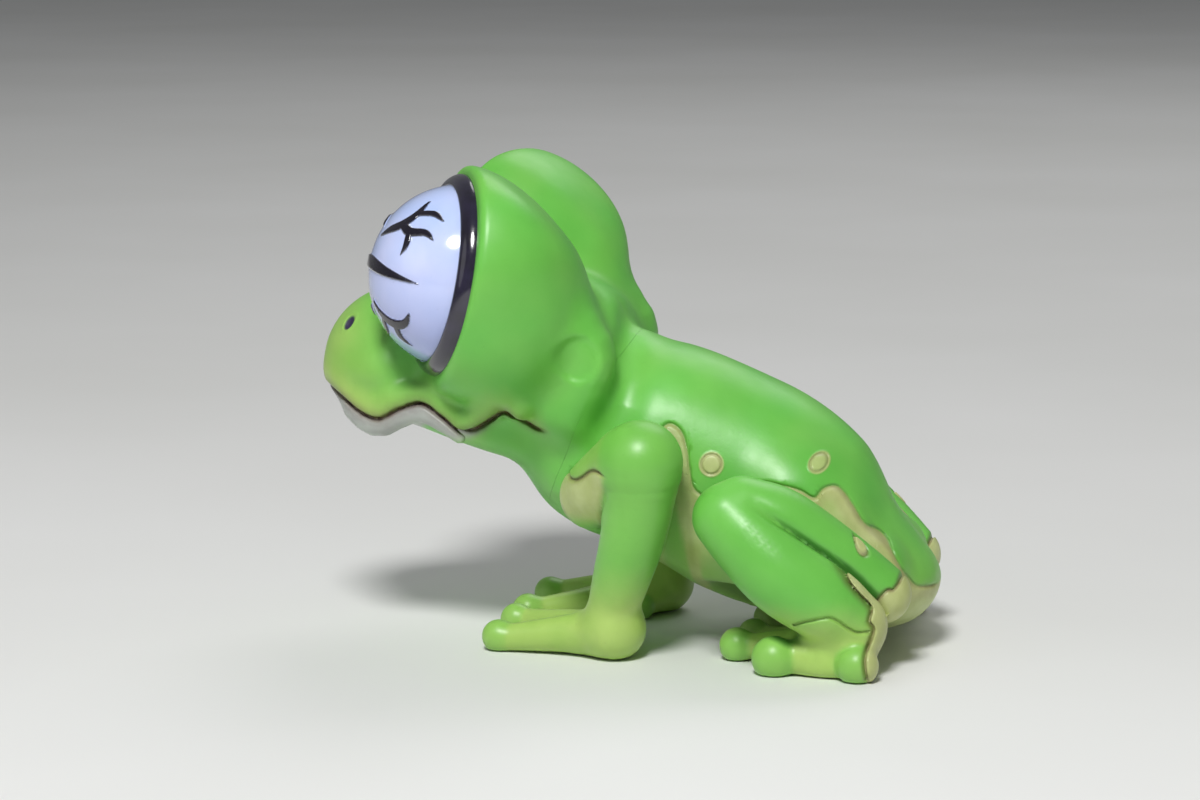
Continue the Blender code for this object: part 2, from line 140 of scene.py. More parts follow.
# ---- Solids as signed distances ------------------------------------------------------------------------
def mirrored(points):
    """Points folded to the -Y side, where everything that comes in pairs is drawn."""
    folded = points.copy()
    folded[..., 1] = -np.abs(folded[..., 1])
    return folded


def ball(p, centre, radius):
    return length(p - np.asarray(centre)) - radius


def cone(p, start, end):
    """Distance to a round cone between two balls given as (x, y, z, radius)."""
    a, b = np.array(start[:3]), np.array(end[:3])
    along = b - a
    t = np.clip(((p - a) @ along) / (along @ along), 0, 1)
    return length(p - a - t[..., None] * along) - (start[3] + (end[3] - start[3]) * t)


def tube(p, balls, count=0):
    """Distance to a smooth tube through balls."""
    balls = curve(balls, count) if count else balls
    out = cone(p, balls[0], balls[1])
    for start, end in zip(balls[1:], balls[2:]):
        out = np.minimum(out, cone(p, start, end))
    return out


def egg(p, centre, radii, tilt=0.0):
    """Distance to an ellipsoid, tilted nose-up, in degrees."""
    t = np.radians(tilt)
    turn = np.array([[np.cos(t), 0, np.sin(t)], [0, 1, 0], [-np.sin(t), 0, np.cos(t)]])
    local = (p - vec(*centre)) @ turn
    radii = vec(*radii)
    k0 = length(local / radii)
    k1 = length(local / (radii * radii))
    return k0 * (k0 - 1) / np.maximum(k1, 1e-9)


def join(a, b, fillet=0.0):
    if fillet <= 0:
        return np.minimum(a, b)
    h = np.maximum(fillet - np.abs(a - b), 0) / fillet
    return np.minimum(a, b) - h * h * fillet / 4


def both(a, b, edge=0.0):
    return -join(-a, -b, edge)


def beside(p, line, x=0, z=-1):
    """Signed distance, in the side view, above a line drawn from front to back."""
    px = p[..., x]
    rise = np.gradient(line[:, z], line[:, x])
    return (p[..., 2] - np.interp(px, line[:, x], line[:, z])) / np.sqrt(1 + np.interp(px, line[:, x], rise) ** 2)


def wave(p, line):
    """Side-view distance to an open line, ends included."""
    line = np.asarray(line)
    flat = p[..., [0, 2]]
    best = np.full(flat.shape[:-1], 1e9)
    for a, b in zip(line[:-1], line[1:]):
        along = b - a
        t = np.clip(((flat - a) @ along) / (along @ along), 0, 1)
        best = np.minimum(best, length(flat - a - t[..., None] * along))
    return best


ARM_LINE = curve([(-4.4, 17.8), (-3.4, 17.6), (-2.5, 17.7), (-1.6, 18.2), (-0.7, 18.9), (0.1, 19.1), (0.8, 18.9),
                  (1.4, 18.7), (2.0, 18.8)], 32)
FLANGE_LINE = curve([(23.0, 11.4), (23.9, 10.2), (24.7, 9.1), (25.7, 7.9), (26.5, 6.8), (26.4, 5.8), (26.8, 5.0),
                     (26.6, 4.0), (26.3, 2.9), (26.5, 0.5)], 26)
RUMP_LINE = curve([(25.6, 5.6), (26.2, 6.4), (27.0, 7.5), (27.6, 8.1), (28.1, 8.1), (28.5, 8.6), (28.7, 9.4), (28.75, 10.6)],
                  22)
FOOT_LINE = curve([(19.6, 5.5), (20.6, 5.9), (21.8, 6.2), (23.0, 6.4), (23.8, 6.0), (24.6, 5.3), (25.4, 4.8), (26.4, 4.8)],
                  22)
SPOTS = ((10.0, 19.1, 1.2), (20.1, 19.3, 0.95))
DROP, DROP_ALONG, DROP_ACROSS = vec(24.8, -12.3, 12.1), unit(vec(0.62, -0.42, -0.68)), unit(vec(0.61, 0.81, 0.06))
EAR = vec(-2.6, 29.2)
BEHIND_JOWL = ((0.2, 0, 32.2, 0), (0.4, -2.4, 31.5, 0), (0.9, -5.0, 29.8, 0), (1.6, -8.0, 27.4, 0), (1.3, -10.2, 25.0, 0), (0.4, -10.9, 22.4, 0))


def drop_shape(p):
    """Distance, about, to the raised teardrop on the thigh."""
    u, v = (p - DROP) @ DROP_ACROSS, (p - DROP) @ DROP_ALONG
    return np.maximum(np.sqrt((u / (0.66 + 0.18 * v)) ** 2 + (v / 1.1) ** 2) * 0.66 - 0.66, ball(p, DROP, 1.8))


def trunk(p):
    q = mirrored(p)
    d = egg(p, (12.4, 0, 14.8), (16.6, 10.3, 10.9), 31)
    d = join(d, egg(p, (0.6, 0, 20.0), (8.4, 9.3, 8.8)), 7)
    d = join(d, egg(p, (-3.4, 0, 17.0), (6.4, 7.4, 5.0)), 5)
    d = join(d, tube(q, [(17.4, -6.0, 15.0, 4.3), (22.6, -5.4, 10.0, 4.3)], 8), 3.5)
    d = join(d, egg(p, (25.9, 0, 7.0), (5.0, 7.4, 4.8)), 4)
    d = d + 0.7 * smooth(22.8, 26.3, q[..., 0]) * smooth(6.5, 10.5, q[..., 2]) * smooth(-8.5, -6.0, q[..., 1])
    d = join(d, ball(q, (25.4, -6.2, 8.6), 3.1), 1.5)  # shoulder of the hip
    return join(d, tube(q, [(-1.0, -3.6, 17.0, 4.0), (-1.6, -5.2, 16.0, 3.9)]), 2.5)


def skull(p):
    q = mirrored(p)
    d = egg(p, (-8.8, 0, 27.4), (10.4, 12.0, 9.0))
    d = join(d, egg(p, (-20.8, 0, 27.2), (10.0, 10.2, 5.6), -10), 3.5)
    d = join(d, egg(p, (-24.6, 0, 28.6), (6.4, 5.6, 5.4), -28), 3)
    d = join(d, egg(p, (-15.8, 0, 22.5), (12.2, 9.4, 3.5), 18), 2.6)
    d = join(d, tube(q, [(-6.0, -9.6, 34.0, 1.6), (-2.3, -10.0, 30.6, 2.0), (-2.0, -10.0, 27.0, 2.1), (-3.8, -9.6, 23.6, 2.1)], 9), 4.2)
    # rolls of the lips
    lower = np.column_stack([LIPS[:, 0] + 1.9 * smooth(-26, -31, LIPS[:, 0]), LIPS[:, 1] + 1.0, LIPS[:, 2] - 0.9,
                             0.2 + 0.8 * smooth(-12.5, -19, LIPS[:, 0])])[:14]
    upper = np.column_stack([LIPS[:, 0] + 1.1 * smooth(-26, -31, LIPS[:, 0]), LIPS[:, 1] + 1.0, LIPS[:, 2] + 1.15,
                             1.0 + 0.15 * smooth(-12, -20, LIPS[:, 0])])
    d = join(d, tube(q, lower), 0.9)
    d = join(d, tube(q, upper), 1.6)
    # hollow between the bulb and the lip
    return d + 1.7 * bump(tube(q, [(-19.6, -10.6, 28.3, 0), (-17.4, -11.8, 27.6, 0), (-14.6, -12.6, 26.9, 0)]), 2.3)


def lids(p):
    q = mirrored(p)
    dome = join(ball(q, BULB, BULB_RADIUS), ball(q, BULB + vec(0.6, -1.0, 1.5), 9.8), 1.5)
    dome = join(dome, egg(q, BULB + vec(2.1, 0.0, -4.0), (9.0, 9.0, 8.6)), 2.0)
    dome = both(dome, (q - BULB) @ unit(vec(0.62, 0.30, 0.72)) - 9.3, 3.0)
    dome = both(dome, q[..., 1] + 1.9, 4.5)  # a valley between the two bulbs
    dome = join(dome, ball(q, EYE, EYE_RADIUS + 0.9), 1.2)  # a wall behind each eyeball
    dome = both(dome, (q - (BULB + LID_EDGE * LOOK)) @ LOOK, 0.7)
    return dome


def skin(p):
    """The whole skin of head and trunk."""
    q = mirrored(p)
    d = join(skull(p), lids(p), 2.2)
    d = join(d, trunk(p), 3.2)
    d = both(d, -ball(q, EYE, EYE_RADIUS + 0.05), 0.25)
    at_front = smooth(MOUTH_CORNER + 0.8, MOUTH_CORNER - 1.2, q[..., 0])
    d = d + at_front * 0.42 * bump(beside(q, MOUTH), 0.24)
    d = d + 0.4 * bump(ball(q, (-9.9, -13.0, 23.9), 0), 0.9)  # pit at the corner of the mouth
    nostril = ball((q - vec(-27.8, -4.5, 31.0)) * vec(1.15, 1.0, 0.8), (0, 0, 0), 0)
    d = d + 0.45 * bump(nostril, 0.55) - 0.07 * bump(nostril - 0.95, 0.25)
    ear = length((q[..., [0, 2]] - EAR) * vec(1.0, 0.92)) + 3 * smooth(-9, -6, q[..., 1])
    d = d + 0.18 * smooth(2.3, 1.5, ear) - 0.06 * bump(ear - 2.4, 0.5)
    # hollow behind the jowl
    return d + 1.0 * bump(tube(q, BEHIND_JOWL), 1.5)


def mouth_side(p):
    """Above zero outside the lower jaw."""
    q = mirrored(p)
    return beside(q, MOUTH)


def torso(p):
    q = mirrored(p)
    d = skin(p)
    d = both(d, (q - (HIP - 0.12 * HIP_AXIS)) @ HIP_AXIS, 0.5)
    on_side = smooth(-1.0, -2.5, q[..., 1])
    line = beside(q, PARTING)
    d = d + on_side * 0.18 * bump(line, 0.18) * smooth(1.0, 3.0, q[..., 0])
    # raised edge of the flank patch
    d = d - on_side * 0.16 * smooth(0.05, -0.35, line) * smooth(19.3, 20.2, q[..., 0]) * smooth(27, 25, q[..., 0])
    for x, z, radius in SPOTS:
        r = length(q[..., [0, 2]] - vec(x, z))
        d = d + on_side * (0.14 * bump(r - 0.78 * radius, 0.13) - 0.09 * smooth(radius + 0.15, radius - 0.15, r))
    d = both(d, -egg(q, (12.6, -4.5, 3.4), (6.0, 3.6, 3.6)), 2.0)  # room under the belly for the toes
    land = both(ball(q[..., [0, 2]], (SHOULDER[0] + 0.8, SHOULDER[2]), 3.2), q[..., 1] - (SHOULDER[1] + 0.12))
    return both(d, -land, 0.5)


def on_upper_arm(q):
    return smooth(-0.1, 0.4, tube(q, FOREARM, 8) - tube(q, ARM, 8)) * smooth(12.5, 14.5, q[..., 2])


def arm(p):
    q = mirrored(p)
    d = join(tube(q, ARM, 12), tube(q, FOREARM, 20), 1.6)
    h = tube(q, [(0.8, -12.0, 2.7, 2.6), (-1.8, -11.2, 2.2, 2.2), (-5.0, -10.9, 1.9, 1.75), (-10.2, -10.9, 1.25, 1.3)], 8)
    h = join(h, tube(q, [(0.9, -10.6, 2.9, 2.5), (-2.6, -8.0, 2.1, 1.8), (-6.0, -5.4, 1.8, 1.35), (-10.2, -2.7, 1.3, 1.15)], 8), 1.8)
    h = join(h, tube(q, [(1.0, -10.5, 2.2, 2.0), (-0.4, -6.6, 1.1, 0.95)]), 0.9)
    for x, y, z, radius in ((-11.0, -10.7, 1.35, 1.65), (-11.3, -2.4, 1.3, 1.6), (-0.5, -6.2, 1.15, 1.3)):
        h = join(h, ball(q, (x, y, z), radius), 0.5)
    d = both(join(d, h, 1.4), -q[..., 2], 0.35)
    on_arm = on_upper_arm(q)
    d = d + 0.28 * on_arm * bump(wave(q, ARM_LINE), 0.18)
    # crease in the crook of the arm
    crook = tube(q, FOREARM, 12) - tube(q, ARM, 12)
    return d + 0.3 * bump(crook, 0.4) * smooth(18.2, 16.8, q[..., 2]) * smooth(12.0, 14.0, q[..., 2])


def on_shank(q):
    return smooth(-0.15, 0.15, tube(q, THIGH, 8) - tube(q, SHANK, 8))


def leg(p):
    q = mirrored(p)
    d = join(tube(q, THIGH, 30), tube(q, SHANK, 30), 0.4)
    f = tube(q, [(24.4, -13.4, 4.8, 2.8), (22.6, -12.6, 3.1, 2.3), (19.2, -11.4, 2.2, 1.7), (13.4, -9.6, 1.35, 1.2)], 8)
    f = join(f, tube(q, [(23.8, -12.4, 3.2, 2.5), (21.0, -10.0, 2.3, 1.8), (18.0, -7.6, 1.7, 1.3), (14.2, -4.4, 1.2, 1.1)], 8), 1.4)
    f = join(f, tube(q, [(23.7, -13.6, 3.5, 2.3), (22.2, -14.2, 2.4, 2.1), (20.0, -14.6, 1.9, 1.7), (18.0, -14.9, 1.5, 1.5)], 6), 1.8)
    f = join(f, tube(q, [(24.7, -13.9, 4.0, 2.4), (25.0, -15.1, 2.6, 1.9), (25.3, -16.1, 1.6, 1.5)]), 1.2)
    # web between the two outer toes
    f = join(f, egg(q, (22.6, -14.4, 1.0), (3.2, 2.2, 1.3)), 1.4)
    for x, y, z, radius in ((12.6, -9.7, 1.4, 1.75), (13.2, -4.1, 1.3, 1.6), (17.2, -15.2, 1.55, 2.15), (25.4, -16.5, 1.55, 1.95)):
        f = join(f, ball(q, (x, y, z), radius), 0.45)
    d = both(join(d, f, 1.2), -q[..., 2], 0.35)
    outer = smooth(-12.0, -12.8, q[..., 1])
    shank = on_shank(q)
    d = d + 0.30 * bump(wave(q, FLANGE_LINE), 0.18) * outer * shank
    d = d - 0.14 * smooth(0.0, 0.5, beside_x(q, FLANGE_LINE)) * outer * shank * smooth(12.0, 10.6, q[..., 2])
    d = d + 0.28 * bump(wave(q, RUMP_LINE), 0.18) * (1 - shank)
    d = d + 0.26 * bump(wave(q, FOOT_LINE), 0.17) * outer
    # the fold between thigh and shank
    fold = tube(q, THIGH, 12) - tube(q, SHANK, 12)
    d = d + 0.4 * bump(fold, 0.45) * smooth(14.5, 17.5, q[..., 0]) * smooth(-9.5, -11.0, q[..., 1])
    drop = drop_shape(q)
    return d + 0.2 * bump(drop, 0.14) - 0.1 * smooth(0.0, -0.2, drop)


def beside_x(p, line):
    """Side-view distance behind a steep line drawn from the top down."""
    line = line[::-1]
    return p[..., 0] - np.interp(p[..., 2], line[:, 1], line[:, 0])


def eye_marks(p):
    """Side of the eye's relief strokes: about 0 at a stroke's edge, in degrees, negative inside."""
    d = mirrored(p) - EYE
    d = d / length(d)[..., None]
    away = np.degrees(np.arccos(np.clip(d @ LOOK, -1, 1)))
    e, n = d @ EAST, d @ NORTH
    size = np.maximum(np.hypot(e, n), 1e-9)
    flat = np.stack([away * e / size, away * n / size], -1)
    best = np.full(flat.shape[:-1], 1e9)
    for stroke in STROKES:
        line = curve(stroke, 4 * len(stroke))
        for a, b in zip(line[:-1], line[1:]):
            along = b[:2] - a[:2]
            t = np.clip(((flat - a[:2]) @ along) / (along @ along), 0, 1)
            best = np.minimum(best, length(flat - a[:2] - t[..., None] * along) - (a[2] + (b[2] - a[2]) * t))
    return best


# (east, north, half width), in degrees from the middle of the eye
STROKES = (
    ((-48, -3, 0.5), (-24, 0, 2.6), (0, 1, 4.4), (24, -2, 3.3), (50, -5, 0.5)),
    ((3, 18, 0.7), (12, 24, 3.0), (21, 30, 3.7), (25, 40, 3.0), (22, 52, 0.7)),
    ((21, 30, 2.6), (31, 27, 3.3), (42, 30, 2.6), (50, 27, 0.5)),
    ((25, 40, 2.3), (36, 45, 2.6), (46, 43, 0.7)),
    ((31, 27, 2.6), (34, 18, 2.3), (33, 11, 0.5)),
    ((6, -22, 0.7), (15, -31, 3.0), (26, -36, 3.7), (36, -34, 2.6), (42, -27, 0.7)),
    ((26, -36, 2.6), (24, -45, 2.6), (28, -53, 0.7)),
    ((15, -31, 2.0), (10, -41, 2.3), (4, -47, 0.5)),
    ((-4, 24, 0.5), (-14, 29, 2.9), (-25, 30, 3.3), (-33, 38, 2.5), (-35, 47, 0.5)),
    ((-25, 30, 2.3), (-34, 25, 2.5), (-43, 24, 0.5)),
    ((-5, -26, 0.5), (-15, -32, 3.0), (-25, -33, 3.3), (-36, -40, 0.5)),
    ((-25, -33, 2.2), (-32, -25, 2.2), (-38, -20, 0.5)),
)


def eyeball(p):
    q = mirrored(p)
    relief = 0.2 * smooth(0.5, -1.0, eye_marks(p))
    behind = -((q - (EYE - 3.5 * LOOK)) @ LOOK)
    return both(ball(q, EYE, EYE_RADIUS) - relief, behind, 0.3)


# ---- From distances to meshes --------------------------------------------------------------------------
CORNERS = np.array([(a, b, c) for a in (0, 1) for b in (0, 1) for c in (0, 1)])
BLOCK = 5


def surface(field, low, high, step):
    """Quads, as surface nets, of a field's zero level."""
    low, high = np.array(low, float), np.array(high, float)
    blocks = np.ceil((high - low) / (step * BLOCK)).astype(int)
    n = blocks * BLOCK
    middle = low + (np.stack(np.meshgrid(*[np.arange(k) for k in blocks], indexing="ij"), -1) + 0.5) * step * BLOCK
    rough = field(middle.reshape(-1, 3)).reshape(blocks)
    spread = lambda a: a.repeat(BLOCK, 0).repeat(BLOCK, 1).repeat(BLOCK, 2)
    value, active = spread(rough), spread(np.abs(rough) < step * BLOCK * 1.5 + 0.8)
    where = np.argwhere(active)
    value[active] = field(low + where * step)
    for axis in range(3):
        ends = np.moveaxis(value, axis, 0)
        ends[0], ends[-1] = np.abs(ends[0]) + 0.1, np.abs(ends[-1]) + 0.1
    inside = value < 0
    n1 = n - 1
    count = sum(inside[tuple(slice(c, c + k) for c, k in zip(corner, n1))].astype(int) for corner in CORNERS)
    cells = np.argwhere((count > 0) & (count < 8))
    index = np.full(n1, -1)
    index[tuple(cells.T)] = np.arange(len(cells))
    total, hits = np.zeros((len(cells), 3)), np.zeros(len(cells))
    for i, a in enumerate(CORNERS):
        for b in CORNERS[i + 1:]:
            if abs(a - b).sum() != 1:
                continue
            va, vb = value[tuple((cells + a).T)], value[tuple((cells + b).T)]
            cross = (va < 0) != (vb < 0)
            t = np.where(cross, va / np.where(va == vb, 1, va - vb), 0)[:, None]
            total += np.where(cross[:, None], a + t * (b - a), 0)
            hits += cross
    points = low + step * (cells + total / hits[:, None])
    quads = []
    for axis in range(3):
        off = np.eye(3, dtype=int)[axis]
        near, far = inside[tuple(slice(0, k - o) for k, o in zip(n, off))], inside[tuple(slice(o, None) for o in off)]
        edges = np.argwhere(near != far)
        u, v = ((1, 2), (2, 0), (0, 1))[axis]
        quad = []
        for du, dv in ((-1, -1), (0, -1), (0, 0), (-1, 0)):
            cell = edges.copy()
            cell[:, u] += du
            cell[:, v] += dv
            quad.append(index[tuple(cell.T)])
        quad = np.stack(quad, 1)
        flip = ~near[tuple(edges.T)]
        quad[flip] = quad[flip][:, ::-1]
        quads.append(quad)
    quads = np.concatenate(quads)
    return points, np.concatenate([quads[:, [0, 1, 2]], quads[:, [0, 2, 3]]])


def slope(field, p, reach=1e-3):
    here = field(p)
    return here, np.stack([(field(p + reach * axis) - here) / reach for axis in np.eye(3)], -1)


def settle(field, p, step, rounds=2):
    """Points moved onto the surface."""
    for _ in range(rounds):
        value, g = slope(field, p)
        move = -(value / np.maximum((g * g).sum(1), 0.05))[:, None] * g
        size = length(move)[:, None]
        p = p + move * np.minimum(1, 0.5 * step / np.maximum(size, 1e-9))
    return p


SPLITS = {
    (1, 0, 0): ((0, 3, 2), (3, 1, 2)), (0, 1, 0): ((0, 1, 4), (0, 4, 2)), (0, 0, 1): ((0, 1, 5), (5, 1, 2)),
    (1, 1, 0): ((3, 1, 4), (0, 3, 4), (0, 4, 2)), (0, 1, 1): ((4, 2, 5), (0, 1, 4), (0, 4, 5)),
    (1, 0, 1): ((0, 3, 5), (3, 1, 2), (3, 2, 5)), (1, 1, 1): ((0, 3, 5), (3, 1, 4), (4, 2, 5), (3, 4, 5)),
}


def refine(points, triangles, near, reach, limit):
    """Halves the edges longer than a limit that lie within reach of fine detail."""
    edges = np.sort(np.stack([triangles, np.roll(triangles, -1, 1)], -1).reshape(-1, 2), 1)
    edges, back = np.unique(edges, axis=0, return_inverse=True)
    back = back.reshape(-1, 3)
    a, b = points[edges[:, 0]], points[edges[:, 1]]
    middle = (a + b) / 2
    cut = (length(a - b) > limit) & (np.abs(near(middle)) < reach)
    number = np.full(len(edges), -1)
    number[cut] = len(points) + np.arange(cut.sum())
    points = np.vstack([points, middle[cut]])
    corner = np.hstack([triangles, number[back]])
    marks = cut[back].astype(int)
    out = [triangles[~marks.any(1)]]
    for pattern, parts in SPLITS.items():
        rows = corner[(marks == pattern).all(1)]
        out += [rows[:, list(part)] for part in parts]
    return points, np.concatenate(out)


def sculpt(field, low, high, step, near, reach=0.55, levels=2):
    points, triangles = surface(field, low, high, step)
    points = settle(field, points, step, 3)
    for level in range(levels):
        points, triangles = refine(points, triangles, near, reach / (1 + 0.5 * level), step * 0.5 ** (level + 1) * 0.9)
        points = settle(field, points, step, 2)
    return points, triangles


def cut(points, triangles, sides):
    """Splits a mesh where a value per point changes sign, and returns both parts, sharing the cut's points."""
    over, under = sides[triangles] > 0, sides[triangles] < 0
    mixed = over.any(1) & under.any(1)
    parts = {1: list(triangles[~mixed & ~under.any(1)]), -1: list(triangles[~mixed & under.any(1)])}
    added, known = [], {}

    def crossing(a, b):
        key = (min(a, b), max(a, b))
        if key not in known:
            t = sides[key[0]] / (sides[key[0]] - sides[key[1]])
            known[key] = len(points) + len(added)
            added.append(points[key[0]] + t * (points[key[1]] - points[key[0]]))
        return known[key]

    for corners in triangles[mixed]:
        for side in (1, -1):
            loop = []
            for a, b in zip(corners, np.roll(corners, -1)):
                if sides[a] * side >= 0:
                    loop.append(a)
                if sides[a] * sides[b] < 0:
                    loop.append(crossing(a, b))
            parts[side] += [(loop[0], loop[i], loop[i + 1]) for i in range(1, len(loop) - 1)]
    points = np.vstack([points, added]) if added else points
    return [(points, np.array(parts[side])) for side in (1, -1)]


def compact(points, triangles):
    used, back = np.unique(triangles, return_inverse=True)
    return points[used], back.reshape(-1, 3)


def capped(points, triangles, normal, wavy):
    """Closes a cut mesh with a lid; one that is wavy in the side view first runs level, inwards, from its rim."""
    points, triangles = compact(points, triangles)
    bm = bmesh.new()
    verts = [bm.verts.new(p) for p in points]
    bm.verts.ensure_lookup_table()
    for face in triangles:
        if len(set(face)) == 3:
            bm.faces.new([verts[i] for i in face])
    rims = [edge for edge in bm.edges if len(edge.link_faces) == 1]
    if wavy:
        for item in bmesh.ops.extrude_edge_only(bm, edges=rims)["geom"]:
            if isinstance(item, bmesh.types.BMVert):
                item.co.y *= 0.92
        rims = [edge for edge in bm.edges if len(edge.link_faces) == 1]
    bmesh.ops.triangle_fill(bm, edges=rims, use_beauty=True, use_dissolve=False, normal=Vector(normal))
    bmesh.ops.triangulate(bm, faces=[face for face in bm.faces if len(face.verts) > 3])
    bmesh.ops.recalc_face_normals(bm, faces=bm.faces)
    bm.verts.index_update()
    faces = np.array([[v.index for v in face.verts] for face in bm.faces])
    out = np.array([v.co for v in bm.verts])
    bm.free()
    return out, faces


def sliced(points, triangles, field, side, normal, snap, wavy=False):
    """Both closed parts of a mesh either side of a surface, given as a distance. Points near it move onto it."""
    value = side(points)
    close = np.abs(value) < snap
    if close.any():
        where = points[close]
        for _ in range(3):
            value_here, n = slope(field, where)
            where = where - (value_here / np.maximum((n * n).sum(1), 0.2))[:, None] * n
            n = n / np.maximum(length(n), 1e-9)[:, None]
            here, g = slope(side, where)
            g = g - (g * n).sum(1)[:, None] * n
            where = where - (here / np.maximum((g * g).sum(1), 0.2))[:, None] * g
        points = points.copy()
        points[close] = where
        value[close] = 0
    return [capped(p, t, normal, wavy) for p, t in cut(points, triangles, value)]


def paint_none(p, n):
    return {}


def make_piece(name, points, triangles, field, paint, slot, body, material, nodes=None, flip=False):
    """An object from a closed mesh: skin shaded from its field, flat lids shaded flat, paint as attributes."""
    value, g = slope(field, points)
    normals = g / np.maximum(length(g), 1e-9)[:, None]
    on_skin = np.abs(value) < 0.05
    masks = paint(points, normals)
    shown, shades = points, normals
    if flip:
        shown, shades = points * vec(1, -1, 1), normals * vec(1, -1, 1)
        triangles = triangles[:, ::-1]
    mesh = bpy.data.meshes.new(name)
    mesh.from_pydata((shown + SHIFT) * 0.001, [], triangles.tolist())
    mesh.update()
    for key, values in masks.items():
        layer = mesh.attributes.new(key, "FLOAT", "POINT")
        layer.data.foreach_set("value", np.asarray(np.broadcast_to(values, len(points)), np.float32))
    mesh.polygons.foreach_set("use_smooth", np.ones(len(mesh.polygons), bool))
    flat = np.zeros(len(mesh.polygons) * 3)
    mesh.polygons.foreach_get("normal", flat)
    face_normals = flat.reshape(-1, 3)
    loops = np.zeros(len(mesh.loops), int)
    mesh.loops.foreach_get("vertex_index", loops)
    per_loop = shades[loops].reshape(-1, 3, 3)
    agree = (per_loop * face_normals[:, None]).sum(-1).min(1) > 0.35
    skin_face = agree & on_skin[loops].reshape(-1, 3).all(1)
    per_loop = np.where(skin_face[:, None, None], per_loop, face_normals[:, None])
    mesh.normals_split_custom_set(per_loop.reshape(-1, 3).tolist())
    obj = bpy.data.objects.new(name, mesh)
    bpy.context.scene.collection.objects.link(obj)
    mesh.materials.append(material)
    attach(obj, body)
    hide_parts(*(nodes or [name]))
    return obj


# ---- Paint ---------------------------------------------------------------------------------------------
def mottle(p, size):
    """Slow, smooth variation, about -1 to 1."""
    k = 2 * np.pi / size
    x, y, z = (p[..., i] * k for i in range(3))
    return (np.sin(x + 1.3 * np.sin(y * 0.8 + 1)) + np.sin(y * 1.1 + 1.2 * np.sin(z + 2)) + np.sin(z * 0.9 + np.sin(x * 1.2))) / 3


def hollows(field, p, n, reach=1.6):
    """How much a point sits in a hollow; it sets the painted shade laid into hollows and creases."""
    return np.clip(1.0 - field(p + reach * n) / reach, 0, 1)


def base_lime(q):
    return 0.08 + 0.07 * mottle(q, 8)


def head_paint(p, n):
    q = mirrored(p)
    line = beside(q, MOUTH)
    at_front = smooth(MOUTH_CORNER + 1.2, MOUTH_CORNER - 1.0, q[..., 0])
    roll = smooth(3.4, 0.6, line) * smooth(-0.2, 0.0, line) * at_front
    nostril = ball((q - vec(-27.8, -4.5, 31.0)) * vec(1.15, 1.0, 0.8), (0, 0, 0), 0)
    return {
        "lime": np.clip(0.62 * smooth(-19, -29, q[..., 0] + 0.4 * (q[..., 2] - 27)) + 0.35 * roll + base_lime(q), 0, 1),
        "cream": np.zeros(len(p)),
        "wash_and_fold_shade": np.clip(at_front * (0.85 * bump(line, 0.26) + 0.35 * bump(line - 0.45, 0.45)), 0, 1),
        "lip": np.zeros(len(p)),
        "ink": smooth(0.85, 0.6, nostril),
        "hollow_shade": hollows(skin, p, n),
    }


def jaw_paint(p, n):
    q = mirrored(p)
    line = beside(q, MOUTH)
    at_front = smooth(MOUTH_CORNER + 1.2, MOUTH_CORNER - 1.0, q[..., 0])
    width = 3.1 - 2.3 * smooth(-22, -13, q[..., 0])
    lip = smooth(-width - 0.5, -width + 0.5, line + 0.15 * mottle(q, 4)) * smooth(-11.8, -15.5, q[..., 0])
    return {
        "lime": 0.3 * smooth(-3.0, -0.5, line) * smooth(-11, -16, q[..., 0]) + base_lime(q),
        "cream": np.zeros(len(p)),
        "wash_and_fold_shade": np.clip(at_front * (0.85 * bump(line, 0.26) + 0.25 * bump(line + 0.45, 0.4)), 0, 1),
        "lip": lip,
        "ink": np.zeros(len(p)),
        "hollow_shade": hollows(skin, p, n),
    }


def torso_paint(p, n):
    q = mirrored(p)
    line = beside(q, PARTING)
    on_side = smooth(-1.0, -2.5, q[..., 1])
    spots = [length(q[..., [0, 2]] - vec(x, z)) - radius for x, z, radius in SPOTS]
    inside = [smooth(0.08, -0.08, s) * on_side for s in spots]
    ring = sum(bump(s + 0.22 * size[2], 0.13) for s, size in zip(spots, SPOTS))
    under = smooth(0.03, -0.03, line)
    fade = 1 - 0.75 * smooth(-3.5, -8.0, line + 0.5 * mottle(q, 6)) * smooth(23, 17, q[..., 0])
    worn = smooth(-1.9, -0.2, line + 0.25 * mottle(q, 2.5)) * smooth(19, 21, q[..., 0])
    return {
        "lime": np.clip(base_lime(q) + 0.35 * smooth(12, 5, q[..., 2]), 0, 1),
        "cream": np.clip(under * fade * (0.85 + 0.15 * worn) * smooth(0.0, 3.0, q[..., 0]) + inside[0] + 0.8 * inside[1], 0, 1),
        "wash_and_fold_shade": np.clip(on_side * (0.35 * bump(line, 0.2) * smooth(1, 3, q[..., 0]) + 0.4 * ring + 0.15 * under * bump(line + 0.7, 0.6)), 0, 1),
        "lip": np.zeros(len(p)),
        "ink": np.zeros(len(p)),
        "hollow_shade": hollows(skin, p, n),
    }


def arm_paint(p, n):
    q = mirrored(p)
    on_arm = on_upper_arm(q)
    below = smooth(0.03, -0.03, beside(q, ARM_LINE)) * on_arm
    toes = np.minimum(ball(q, (-11.0, -10.7, 1.35), 1.65), np.minimum(ball(q, (-11.3, -2.4, 1.3), 1.6), ball(q, (-0.5, -6.2, 1.15), 1.3)))
    return {
        "lime": np.clip(0.22 + 0.3 * on_arm + 0.88 * smooth(11, 3.5, q[..., 2] + 0.4 * mottle(q, 6)) * (1 - 0.55 * smooth(0.5, 0.0, toes)), 0, 1),
        "cream": np.clip(below, 0, 1) * 0.9,
        "wash_and_fold_shade": np.clip(0.75 * on_arm * bump(wave(q, ARM_LINE), 0.24), 0, 1),
        "lip": np.zeros(len(p)),
        "ink": np.zeros(len(p)),
        "hollow_shade": hollows(arm, p, n),
    }


